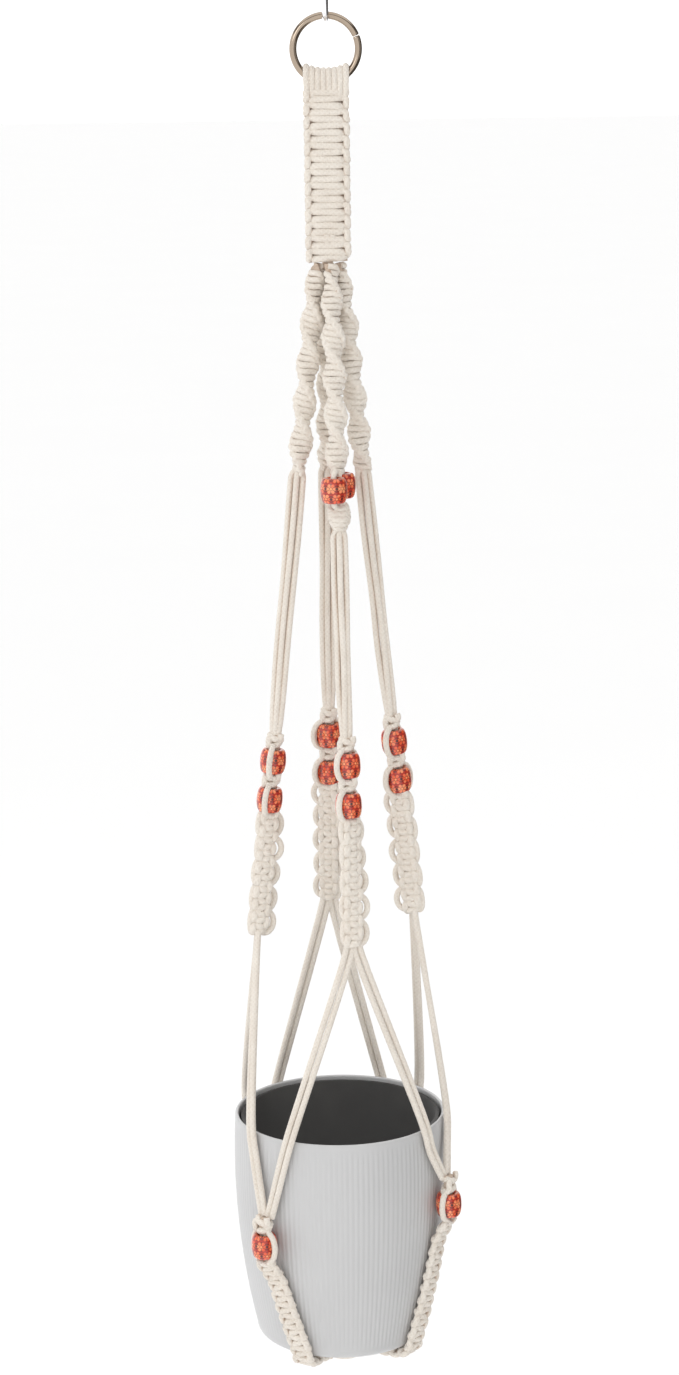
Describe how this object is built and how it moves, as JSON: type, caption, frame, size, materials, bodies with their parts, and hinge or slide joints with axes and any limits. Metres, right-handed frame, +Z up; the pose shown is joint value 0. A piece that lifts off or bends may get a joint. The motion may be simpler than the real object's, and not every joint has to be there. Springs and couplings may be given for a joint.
{
  "type": "hanging macrame planter",
  "caption": "Knotted cotton cord hanger with wooden beads, hung by a ring on an S-hook, cradling a ribbed round cover pot and nursery pot",
  "frame": {"origin": "where the rail or ceiling hook touches the inside of the S-hook's upper bend", "axes": "+Z up, so the planter hangs towards -Z; -Y is its front"},
  "size_m": [0.179, 0.1717, 1.1616],
  "materials": {
    "hook_chrome": "bright chrome plate",
    "ring_nickel": "polished nickel plate, warm grey",
    "cotton_cord": "natural undyed braided cotton, matt",
    "bead_painted_wood": "orange-red printed and lacquered wood with dark figures",
    "cover_pot_white": "white moulded plastic, satin, fine upright ribs",
    "nursery_pot_black": "black moulded plastic, matt"
  },
  "bodies": {
    "hook": {"s_hook": "hook_chrome", "s_hook_upper_ball": "hook_chrome", "s_hook_lower_ball": "hook_chrome"},
    "ring": {"hanging_ring": "ring_nickel"},
    "hanger": {"back_cords": "cotton_cord", "back_knotted_leg": "cotton_cord", "back_left_cradle_knot": "cotton_cord", "back_left_strap": "cotton_cord", "back_right_cradle_knot": "cotton_cord", "back_right_strap": "cotton_cord", "back_spiral": "cotton_cord", "back_to_back_left_cords": "cotton_cord", "back_to_back_right_cords": "cotton_cord", "bottom_knot": "cotton_cord", "front_cords": "cotton_cord", "front_inner_bead_cord": "cotton_cord", "front_knotted_leg": "cotton_cord", "front_left_cradle_knot": "cotton_cord", "front_left_strap": "cotton_cord", "front_outer_bead_cord": "cotton_cord", "front_pair_knot": "cotton_cord", "front_right_cradle_knot": "cotton_cord", "front_right_strap": "cotton_cord", "front_spiral": "cotton_cord", "front_to_front_left_cords": "cotton_cord", "front_to_front_right_cords": "cotton_cord", "gathering_column": "cotton_cord", "left_cords": "cotton_cord", "left_knotted_leg": "cotton_cord", "left_spiral": "cotton_cord", "left_to_back_left_cords": "cotton_cord", "left_to_front_left_cords": "cotton_cord", "right_cords": "cotton_cord", "right_knotted_leg": "cotton_cord", "right_spiral": "cotton_cord", "right_to_back_right_cords": "cotton_cord", "right_to_front_right_cords": "cotton_cord", "ring_loops": "cotton_cord"},
    "cover_pot": {"cover_pot": "cover_pot_white"},
    "nursery_pot": {"nursery_pot": "nursery_pot_black"},
    "front_upper_bead": {"front_upper_bead": "bead_painted_wood"},
    "front_lower_bead": {"front_lower_bead": "bead_painted_wood"},
    "right_upper_bead": {"right_upper_bead": "bead_painted_wood"},
    "right_lower_bead": {"right_lower_bead": "bead_painted_wood"},
    "back_upper_bead": {"back_upper_bead": "bead_painted_wood"},
    "back_lower_bead": {"back_lower_bead": "bead_painted_wood"},
    "left_upper_bead": {"left_upper_bead": "bead_painted_wood"},
    "left_lower_bead": {"left_lower_bead": "bead_painted_wood"},
    "front_outer_bead": {"front_outer_bead": "bead_painted_wood"},
    "front_inner_bead": {"front_inner_bead": "bead_painted_wood"},
    "front_left_bead": {"front_left_bead": "bead_painted_wood"},
    "front_right_bead": {"front_right_bead": "bead_painted_wood"},
    "back_right_bead": {"back_right_bead": "bead_painted_wood"},
    "back_left_bead": {"back_left_bead": "bead_painted_wood"}
  },
  "joints": [
    {"name": "ring_sway", "type": "hinge", "parent": "hook", "child": "ring", "pos_m": [0, 0, -0.1069], "axis": [0, 1, 0], "range_deg": [-40, 40]},
    {"name": "hanger_swing", "type": "hinge", "parent": "ring", "child": "hanger", "pos_m": [0, 0, -0.14625], "axis": [1, 0, 0], "range_deg": [-15, 15]},
    {"name": "cover_pot_turn", "type": "hinge", "parent": "hanger", "child": "cover_pot", "pos_m": [0, 0, -1.04], "axis": [0, 0, 1], "continuous": true},
    {"name": "nursery_pot_lift", "type": "slide", "parent": "cover_pot", "child": "nursery_pot", "axis": [0, 0, 1], "range_m": [0, 0.02]},
    {"name": "front_upper_bead_turn", "type": "hinge", "parent": "hanger", "child": "front_upper_bead", "pos_m": [0.00911, -0.04686, -0.6591], "axis": [-0.0197, 0.1015, 0.9946], "continuous": true},
    {"name": "front_lower_bead_turn", "type": "hinge", "parent": "hanger", "child": "front_lower_bead", "pos_m": [0.00971, -0.04998, -0.6897], "axis": [-0.0197, 0.1015, 0.9946], "continuous": true},
    {"name": "right_upper_bead_turn", "type": "hinge", "parent": "hanger", "child": "right_upper_bead", "pos_m": [0.046, 0.01062, -0.6541], "axis": [-0.1008, -0.0233, 0.9946], "continuous": true},
    {"name": "right_lower_bead_turn", "type": "hinge", "parent": "hanger", "child": "right_lower_bead", "pos_m": [0.0491, 0.01134, -0.6847], "axis": [-0.1008, -0.0233, 0.9946], "continuous": true},
    {"name": "back_upper_bead_turn", "type": "hinge", "parent": "hanger", "child": "back_upper_bead", "pos_m": [-0.00496, 0.04716, -0.6561], "axis": [0.0108, -0.1029, 0.9946], "continuous": true},
    {"name": "back_lower_bead_turn", "type": "hinge", "parent": "hanger", "child": "back_lower_bead", "pos_m": [-0.00529, 0.05033, -0.6867], "axis": [0.0108, -0.1029, 0.9946], "continuous": true},
    {"name": "left_upper_bead_turn", "type": "hinge", "parent": "hanger", "child": "left_upper_bead", "pos_m": [-0.04824, -0.00337, -0.6651], "axis": [0.1032, 0.0072, 0.9946], "continuous": true},
    {"name": "left_lower_bead_turn", "type": "hinge", "parent": "hanger", "child": "left_lower_bead", "pos_m": [-0.05141, -0.0036, -0.6957], "axis": [0.1032, 0.0072, 0.9946], "continuous": true},
    {"name": "front_outer_bead_turn", "type": "hinge", "parent": "hanger", "child": "front_outer_bead", "pos_m": [0.00174, -0.03782, -0.4492], "axis": [0, 0, 1], "continuous": true},
    {"name": "front_inner_bead_turn", "type": "hinge", "parent": "hanger", "child": "front_inner_bead", "pos_m": [0.00815, -0.01304, -0.4492], "axis": [0, 0, 1], "continuous": true},
    {"name": "front_left_bead_turn", "type": "hinge", "parent": "hanger", "child": "front_left_bead", "pos_m": [-0.06013, -0.07165, -1.0363], "axis": [0, 0, 1], "continuous": true},
    {"name": "front_right_bead_turn", "type": "hinge", "parent": "hanger", "child": "front_right_bead", "pos_m": [0.08445, -0.04303, -1.0153], "axis": [0, 0, 1], "continuous": true},
    {"name": "back_right_bead_turn", "type": "hinge", "parent": "hanger", "child": "back_right_bead", "pos_m": [0.05401, 0.07713, -1.0273], "axis": [0, 0, 1], "continuous": true},
    {"name": "back_left_bead_turn", "type": "hinge", "parent": "hanger", "child": "back_left_bead", "pos_m": [-0.06988, 0.06292, -1.0293], "axis": [0, 0, 1], "continuous": true}
  ]
}
